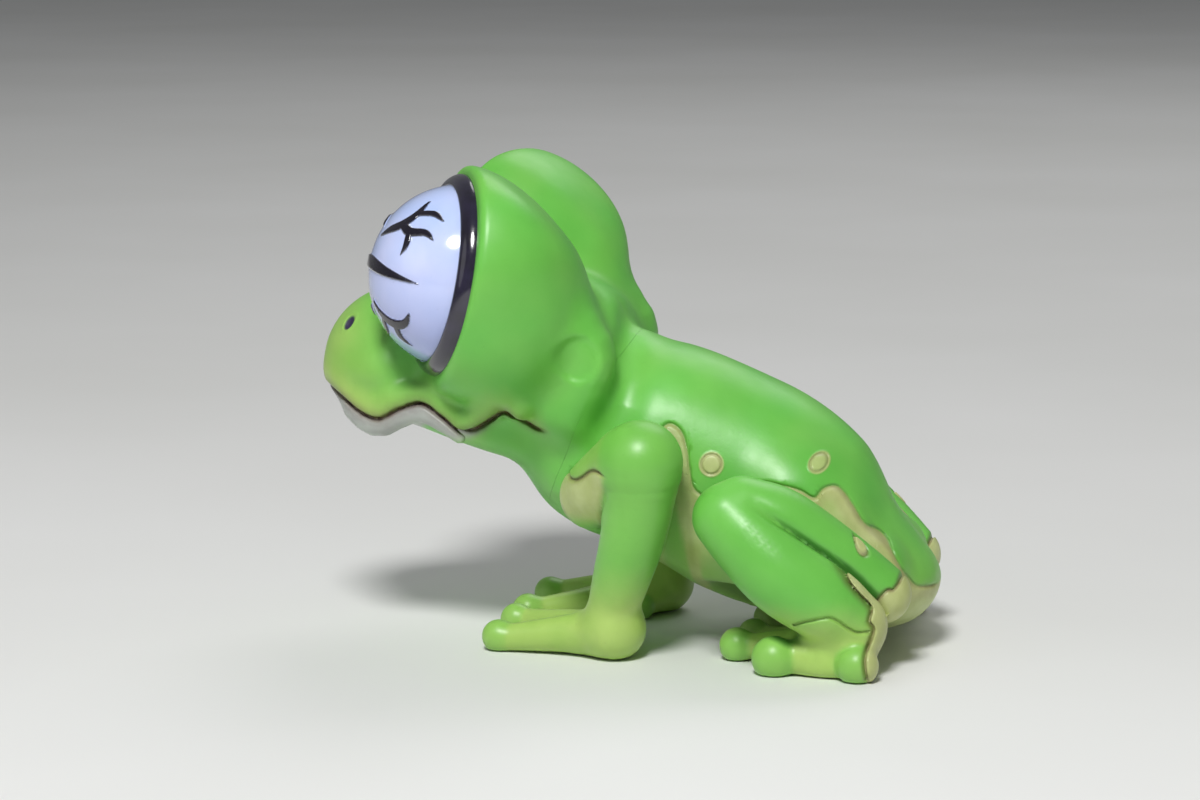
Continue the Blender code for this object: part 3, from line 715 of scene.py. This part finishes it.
def leg_paint(p, n):
    q = mirrored(p)
    outer = smooth(-12.0, -12.8, q[..., 1])
    shank = on_shank(q)
    flange = smooth(-0.04, 0.04, beside_x(q, FLANGE_LINE)) * smooth(11.2, 10.4, q[..., 2]) * shank
    rear = smooth(0.03, -0.03, beside(q, RUMP_LINE)) * smooth(25.6, 26.4, q[..., 0]) * (1 - shank)
    drop = drop_shape(q)
    inner = smooth(-11.0, -9.6, q[..., 1]) * smooth(24, 20, q[..., 0])
    toes = np.minimum(
        np.minimum(ball(q, (12.6, -9.7, 1.4), 1.75), ball(q, (13.2, -4.1, 1.3), 1.6)),
        np.minimum(ball(q, (17.2, -15.2, 1.55), 2.15), ball(q, (25.4, -16.5, 1.55), 1.95)),
    )
    line_wash_and_fold_shade = 0.7 * bump(wave(q, FLANGE_LINE), 0.22) * outer * shank + 0.8 * bump(wave(q, RUMP_LINE), 0.24) * (1 - shank)
    # painted shade: a faint dark band along the fold between thigh and shank, carried with the brown line wash
    line_wash_and_fold_shade = line_wash_and_fold_shade + 0.15 * bump(tube(q, THIGH, 8) - tube(q, SHANK, 8), 0.3) * smooth(15, 18, q[..., 0]) * outer
    line_wash_and_fold_shade = line_wash_and_fold_shade + 0.25 * bump(wave(q, FOOT_LINE), 0.18) * outer + 0.5 * bump(drop, 0.16)
    return {
        "lime": np.clip(0.08 + 0.9 * smooth(8.6, 3.2, q[..., 2] + 0.4 * mottle(q, 6)) * (1 - 0.6 * smooth(0.5, 0.0, toes)), 0, 1),
        "cream": np.clip(np.maximum(flange, rear) + smooth(0.03, -0.05, drop) + 0.5 * inner, 0, 1),
        "wash_and_fold_shade": np.clip(line_wash_and_fold_shade, 0, 1),
        "lip": np.zeros(len(p)),
        "ink": np.zeros(len(p)),
        "hollow_shade": hollows(leg, p, n),
    }


def eye_paint(p, n):
    d = mirrored(p) - EYE
    away = np.degrees(np.arccos(np.clip((d @ LOOK) / length(d), -1, 1)))
    # the low mask is painted shade: the white turns darker and bluer towards the bottom of the eye
    return {"ink": smooth(0.15, -0.25, eye_marks(p)), "ring": smooth(74, 80, away), "low": smooth(2, -8, d @ NORTH)}


# ---- Materials -----------------------------------------------------------------------------------------
def colour(r, g, b):
    """A colour given as it looks on a screen, 0 to 255."""
    c = np.array([r, g, b]) / 255
    return (*np.where(c <= 0.04045, c / 12.92, ((c + 0.055) / 1.055) ** 2.4), 1.0)


class Nodes:
    """A short way to wire a material."""

    def __init__(self, name):
        self.material = bpy.data.materials.new(name)
        self.material.use_nodes = True
        self.tree = self.material.node_tree
        self.shader = self.tree.nodes["Principled BSDF"]
        self.place = self.tree.nodes.new("ShaderNodeTexCoord").outputs["Object"]

    def put(self, socket, value):
        if isinstance(value, bpy.types.NodeSocket):
            self.tree.links.new(value, socket)
        elif value is not None:
            socket.default_value = value

    def noise(self, per_mm, detail=2.0, rough=0.5, channel="Fac"):
        node = self.tree.nodes.new("ShaderNodeTexNoise")
        self.put(node.inputs["Vector"], self.place)
        node.inputs["Scale"].default_value = per_mm * 1000
        node.inputs["Detail"].default_value = detail
        node.inputs["Roughness"].default_value = rough
        return node.outputs[channel]

    def mask(self, name):
        node = self.tree.nodes.new("ShaderNodeAttribute")
        node.attribute_name = name
        return node.outputs["Fac"]

    def math(self, kind, a, b=None):
        node = self.tree.nodes.new("ShaderNodeMath")
        node.operation = kind
        self.put(node.inputs[0], a)
        self.put(node.inputs[1], b)
        return node.outputs[0]

    def ranged(self, value, low, high, to_low, to_high):
        node = self.tree.nodes.new("ShaderNodeMapRange")
        for i, v in enumerate((value, low, high, to_low, to_high)):
            self.put(node.inputs[i], v)
        return node.outputs[0]

    def mix(self, factor, a, b, kind="MIX"):
        node = self.tree.nodes.new("ShaderNodeMix")
        node.data_type = "RGBA"
        node.blend_type = kind
        self.put(node.inputs[0], factor)
        self.put(node.inputs[6], a)
        self.put(node.inputs[7], b)
        return node.outputs[2]

    def bump(self, height, strength, distance_mm, under=None):
        node = self.tree.nodes.new("ShaderNodeBump")
        node.inputs["Strength"].default_value = strength
        node.inputs["Distance"].default_value = distance_mm * 0.001
        self.put(node.inputs["Height"], height)
        if under is not None:
            self.put(node.inputs["Normal"], under)
        return node.outputs["Normal"]

    def finish(self, **inputs):
        for name, value in inputs.items():
            self.put(self.shader.inputs[name.replace("_", " ")], value)
        return self.material


def skin_material(name):
    n = Nodes(name)
    green = n.mix(n.ranged(n.noise(0.12, 3), 0.3, 0.7, 0, 1), colour(92, 182, 66), colour(108, 196, 78))
    lime = n.mix(n.ranged(n.noise(0.2, 3), 0.3, 0.7, 0, 1), colour(158, 196, 92), colour(176, 206, 108))
    cream = n.mix(n.ranged(n.noise(0.35, 4), 0.3, 0.7, 0, 1), colour(176, 186, 112), colour(200, 208, 144))
    lip = n.mix(n.ranged(n.noise(0.3, 3), 0.3, 0.7, 0, 1), colour(160, 160, 158), colour(184, 192, 182))
    base = n.mix(n.mask("lime"), green, lime)
    # painted shade: a darker green laid into hollows and creases, by how deep each point sits
    base = n.mix(n.ranged(n.mask("hollow_shade"), 0.4, 0.95, 0, 0.7), base, colour(34, 108, 30))
    base = n.mix(n.mask("cream"), base, cream)
    base = n.mix(n.mask("lip"), base, lip)
    # brown wash in the engraved lines, together with the painted shade along the thigh-shank fold
    streaky_wash_and_shade = n.math("MULTIPLY", n.mask("wash_and_fold_shade"), n.ranged(n.noise(1.3, 3), 0.3, 0.7, 0.65, 1.0))
    base = n.mix(streaky_wash_and_shade, base, colour(98, 58, 48))
    base = n.mix(n.mask("ink"), base, colour(52, 44, 74))
    grime = n.ranged(n.noise(2.2, 5, 0.6), 0.62, 0.78, 0, 0.10)
    base = n.mix(grime, base, colour(60, 110, 44))
    rough = n.ranged(n.noise(0.5, 4), 0.3, 0.7, 0.36, 0.46)
    peel = n.bump(n.noise(2.6, 3, 0.6), 0.30, 0.030)
    waves = n.bump(n.noise(0.35, 2), 0.25, 0.12, peel)
    return n.finish(Base_Color=base, Roughness=rough, Normal=waves, Specular_IOR_Level=0.5, Coat_Weight=0.12,
                    Coat_Roughness=0.32, Subsurface_Weight=0.0)


def eye_material(name):
    n = Nodes(name)
    white = n.mix(n.ranged(n.noise(0.15, 3), 0.3, 0.7, 0, 1), colour(184, 204, 250), colour(206, 214, 252))
    # painted shade: the lower part of the white darker and bluer
    white = n.mix(n.math("MULTIPLY", n.mask("low"), 0.55), white, colour(150, 160, 226))
    base = n.mix(n.mask("ink"), white, colour(20, 16, 30))
    base = n.mix(n.mask("ring"), base, colour(26, 22, 40))
    speck = n.ranged(n.noise(3.0, 4, 0.6), 0.66, 0.74, 0, 0.25)
    base = n.mix(speck, base, colour(140, 150, 190))
    rough = n.ranged(n.noise(0.8, 3), 0.3, 0.7, 0.10, 0.18)
    return n.finish(Base_Color=base, Roughness=rough, Normal=n.bump(n.noise(0.6, 2), 0.2, 0.04),
                    Coat_Weight=0.8, Coat_Roughness=0.06)


def rim_material(name):
    n = Nodes(name)
    base = n.mix(n.ranged(n.noise(0.5, 4), 0.3, 0.7, 0, 1), colour(20, 17, 30), colour(38, 33, 56))
    rough = n.ranged(n.noise(1.2, 4), 0.3, 0.7, 0.12, 0.24)
    return n.finish(Base_Color=base, Roughness=rough, Normal=n.bump(n.noise(0.9, 3), 0.35, 0.05),
                    Coat_Weight=0.9, Coat_Roughness=0.08)


def pin_material(name):
    n = Nodes(name)
    base = n.mix(n.ranged(n.noise(0.6, 4), 0.3, 0.7, 0, 1), colour(196, 200, 190), colour(216, 218, 206))
    scuff = n.ranged(n.noise(5, 3, 0.6), 0.55, 0.75, 0, 0.3)
    base = n.mix(scuff, base, colour(150, 152, 140))
    return n.finish(Base_Color=base, Roughness=n.ranged(n.noise(2, 3), 0.3, 0.7, 0.35, 0.55),
                    Normal=n.bump(n.noise(4, 3), 0.3, 0.03))


# ---- Pieces --------------------------------------------------------------------------------------------
SKIN = skin_material("painted_vinyl")
EYES = eye_material("glossy_eye")
RIMS = rim_material("glossy_black_ring")
PINS = pin_material("moulded_pin")
BOTH = (("left", False), ("right", True))


def nearest(*fields):
    return lambda p: np.min([np.abs(field(p)) for field in fields], axis=0)


def head_detail(p):
    q = mirrored(p)
    nostril = ball(q, (-27.8, -4.5, 31.0), 0.6)
    lid = np.abs((q - (BULB + LID_EDGE * LOOK)) @ LOOK) + np.maximum(np.abs(ball(q, BULB, 9.6)) - 1.0, 0) * 0.6
    mouth = np.abs(beside(q, MOUTH)) + np.maximum(q[..., 0] - MOUTH_CORNER - 4.5, 0)
    return np.min([mouth, nostril, lid], axis=0)


def make_head():
    points, triangles = sculpt(skin, (-34, -21.5, 6), (8, 21.5, 49.5), 0.42, head_detail, 0.7)
    plane = lambda p: (p - NECK) @ NECK_AXIS - 0.01
    (points, triangles), _ = sliced(points, triangles, skin, plane, NECK_AXIS, 0.08)
    upper, lower = sliced(points, triangles, skin, mouth_side, (0, 0, 1), 0.03, True)
    make_piece("head_shell", *upper, skin, head_paint, "green_skin", "head", SKIN)
    make_piece("lower_jaw", *lower, skin, jaw_paint, "pale_lip", "head", SKIN)


def torso_detail(p):
    q = mirrored(p)
    far = 2 * smooth(-1.5, -0.5, q[..., 1])
    spots = [np.abs(length(q[..., [0, 2]] - vec(x, z)) - 0.9 * radius) - 0.1 for x, z, radius in SPOTS]
    return np.min([np.abs(beside(q, PARTING)), *spots], axis=0) + far


def make_torso():
    points, triangles = sculpt(torso, (-14, -13, -2), (33, 13, 35), 0.45, torso_detail, 0.5)
    plane = lambda p: (p - NECK) @ NECK_AXIS + 0.01
    _, (points, triangles) = sliced(points, triangles, skin, plane, NECK_AXIS, 0.08)
    back, belly = sliced(points, triangles, torso, lambda p: beside(p, PARTING), (0, 0, 1), 0.03, True)
    make_piece("back_shell", *back, torso, torso_paint, "green_skin", "torso", SKIN)
    make_piece("belly_shell", *belly, torso, torso_paint, "cream_skin", "torso", SKIN)


def arm_detail(p):
    q = mirrored(p)
    return wave(q, ARM_LINE) + 2 * smooth(2.2, 3.0, q[..., 0])


def leg_detail(p):
    q = mirrored(p)
    far = 2 * smooth(-12.0, -11.0, q[..., 1])
    ends = np.minimum(wave(q, FLANGE_LINE), wave(q, FOOT_LINE))
    return np.min([ends + far, np.abs(drop_shape(q)), wave(q, RUMP_LINE)], axis=0)


def make_limbs():
    jobs = (
        ("foreleg", "hand", "arm", arm, arm_detail, arm_paint, (-14, -20, -1), (9.5, -5e-1, 25), SHOULDER, vec(0, -1, 0),
         WRIST, WRIST_AXIS),
        ("hind_leg", "foot", "leg", leg, leg_detail, leg_paint, (7, -22, -1), (33, -1.5, 21.5), HIP, HIP_AXIS, ANKLE, ANKLE_AXIS),
    )
    for upper_name, lower_name, body, field, detail, paint, low, high, face, outward, end, up in jobs:
        points, triangles = sculpt(field, low, high, 0.34, detail, 0.5)
        top, bottom = sliced(points, triangles, field, lambda p: (p - end) @ up, up, 0.06)
        root = lambda p: (p - face) @ outward
        top, _ = sliced(*top, field, lambda p: np.maximum(root(p), -1 - (p[..., 2] - end[2] - 1)), outward, 0.06)
        for side, flip in BOTH:
            make_piece(f"{upper_name}_{side}", *top, field, paint, "green_skin", f"{body}_{side}", SKIN, flip=flip)
            make_piece(f"{lower_name}_{side}", *bottom, field, paint, "lime_skin", f"{body}_{side}", SKIN, flip=flip)


RIM_PROFILE = ((-1.5, 8.92), (-1.5, 9.9), (-0.6, 10.0), (0.0, 9.95), (0.45, 9.82), (0.85, 9.58), (1.15, 9.26),
               (1.32, 8.92), (1.3, 8.66), (1.1, 8.58), (0.6, 8.72), (0.0, 8.84))
RIM_STEPS = 160


def make_eyes():
    low, high = EYE - 10, EYE + 10
    points, triangles = sculpt(eyeball, low, high, 0.4, lambda p: np.abs(eye_marks(p)) * 0.157, 0.35)
    profile = np.vstack([curve(RIM_PROFILE, 45)])
    angles = np.linspace(0, 2 * np.pi, RIM_STEPS, endpoint=False)
    centre = BULB + LID_EDGE * LOOK
    ring = (
        centre
        + profile[None, :, :1] * LOOK
        + profile[None, :, 1:] * (np.cos(angles)[:, None, None] * EAST + np.sin(angles)[:, None, None] * NORTH)
    )
    count = len(profile)
    a = np.arange(RIM_STEPS)[:, None] * count + np.arange(count)
    b = np.roll(a, -1, 0)
    a1, b1 = np.roll(a, -1, 1), np.roll(b, -1, 1)
    quads = np.stack([a, b, b1, a1], -1).reshape(-1, 4)
    rim_triangles = np.concatenate([quads[:, [0, 1, 2]], quads[:, [0, 2, 3]]])
    rim_points = ring.reshape(-1, 3)
    rim_field = rim_distance(profile)
    for side, flip in BOTH:
        make_piece(f"eyeball_{side}", points, triangles, eyeball, eye_paint, "eye_white", "head", EYES, flip=flip)
        make_piece(f"eye_rim_{side}", rim_points, rim_triangles, rim_field, paint_none, "eye_black", "head", RIMS, flip=flip)


def rim_distance(profile):
    """Signed distance to the turned ring."""
    closed = np.vstack([profile, profile[:1]])

    def field(p):
        d = p - (BULB + LID_EDGE * LOOK)
        t = d @ LOOK
        flat = np.stack([t, length(d - t[..., None] * LOOK)], -1)
        best, inside = np.full(len(p), 1e9), np.zeros(len(p), bool)
        for a, b in zip(closed[:-1], closed[1:]):
            along = b - a
            if along @ along < 1e-12:
                continue
            s = np.clip(((flat - a) @ along) / (along @ along), 0, 1)
            best = np.minimum(best, length(flat - a - s[..., None] * along))
            if a[1] != b[1]:
                meets = (a[1] > flat[:, 1]) != (b[1] > flat[:, 1])
                inside ^= meets & (flat[:, 0] < a[0] + (flat[:, 1] - a[1]) * along[0] / along[1])
        return np.where(inside, -best, best)

    return field


make_head()
make_torso()
make_limbs()
make_eyes()
for node in ("neck_pin", "shoulder_pin_left", "shoulder_pin_right", "hip_pin_left", "hip_pin_right"):
    frame["nodes"][node].data.materials.clear()
    frame["nodes"][node].data.materials.append(PINS)


# ---- Floor, light and camera ---------------------------------------------------------------------------
def floor_material():
    n = Nodes("pale_paper")
    base = n.mix(n.ranged(n.noise(0.01, 3), 0.3, 0.7, 0, 1), colour(226, 226, 223), colour(232, 232, 230))
    return n.finish(Base_Color=base, Roughness=0.75, Normal=n.bump(n.noise(0.8, 3), 0.15, 0.05))


def make_floor():
    bm = bmesh.new()
    bmesh.ops.create_grid(bm, x_segments=8, y_segments=8, size=3.0)
    mesh = bpy.data.meshes.new("floor")
    bm.to_mesh(mesh)
    bm.free()
    mesh.materials.append(floor_material())
    floor = bpy.data.objects.new("floor", mesh)
    bpy.context.scene.collection.objects.link(floor)
    floor.location = (0, 0, -0.00002)
    floor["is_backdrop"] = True


AZIMUTH, ELEVATION = np.radians(13), np.radians(9)
BACK = vec(np.sin(AZIMUTH) * np.cos(ELEVATION), -np.cos(AZIMUTH) * np.cos(ELEVATION), np.sin(ELEVATION))
RIGHT = vec(np.cos(AZIMUTH), np.sin(AZIMUTH), 0)
UP = np.cross(BACK, RIGHT)
MIDDLE = vec(0.0, 0.0, 0.023)


def make_camera():
    camera = bpy.data.cameras.new("camera")
    camera.lens, camera.sensor_width = 117.0, 36.0
    camera.clip_start = 0.01
    obj = bpy.data.objects.new("camera", camera)
    place = 0.001 * (390 * BACK - 3.2 * RIGHT + 23.2 * UP + SHIFT)
    columns = np.eye(4)
    columns[:3, 0], columns[:3, 1], columns[:3, 2], columns[:3, 3] = RIGHT, UP, BACK, place
    obj.matrix_world = Matrix(columns.tolist())
    bpy.context.scene.collection.objects.link(obj)
    bpy.context.scene.camera = obj


def make_light(name, toward, distance, size, watts, tint=(1, 1, 1)):
    light = bpy.data.lights.new(name, "AREA")
    light.shape, light.size, light.energy, light.color = "DISK", size, watts, tint
    obj = bpy.data.objects.new(name, light)
    obj.location = Vector(MIDDLE + distance * unit(toward))
    obj.rotation_euler = Vector(unit(toward)).to_track_quat("Z", "Y").to_euler()
    bpy.context.scene.collection.objects.link(obj)


def make_lights():
    make_light("key", -0.125 * RIGHT + 0.663 * UP + 0.737 * BACK, 0.55, 0.14, 2.6)
    make_light("fill", -0.9 * RIGHT + 0.35 * UP + 0.5 * BACK, 0.8, 0.5, 0.35)
    make_light("top", 0.3 * RIGHT + 1.0 * UP - 0.6 * BACK, 0.8, 0.5, 1.3)
    world = bpy.data.worlds.new("studio")
    world.use_nodes = True
    world.node_tree.nodes["Background"].inputs["Color"].default_value = (0.86, 0.88, 0.9, 1)
    world.node_tree.nodes["Background"].inputs["Strength"].default_value = 0.19
    bpy.context.scene.world = world
    bpy.context.scene.view_settings.view_transform = "Standard"


make_floor()
make_camera()
make_lights()

sizes = {name: [list(map(float, corner)) for corner in box] for name, box in (("cad", CAD_BOX), ("visual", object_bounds()))}
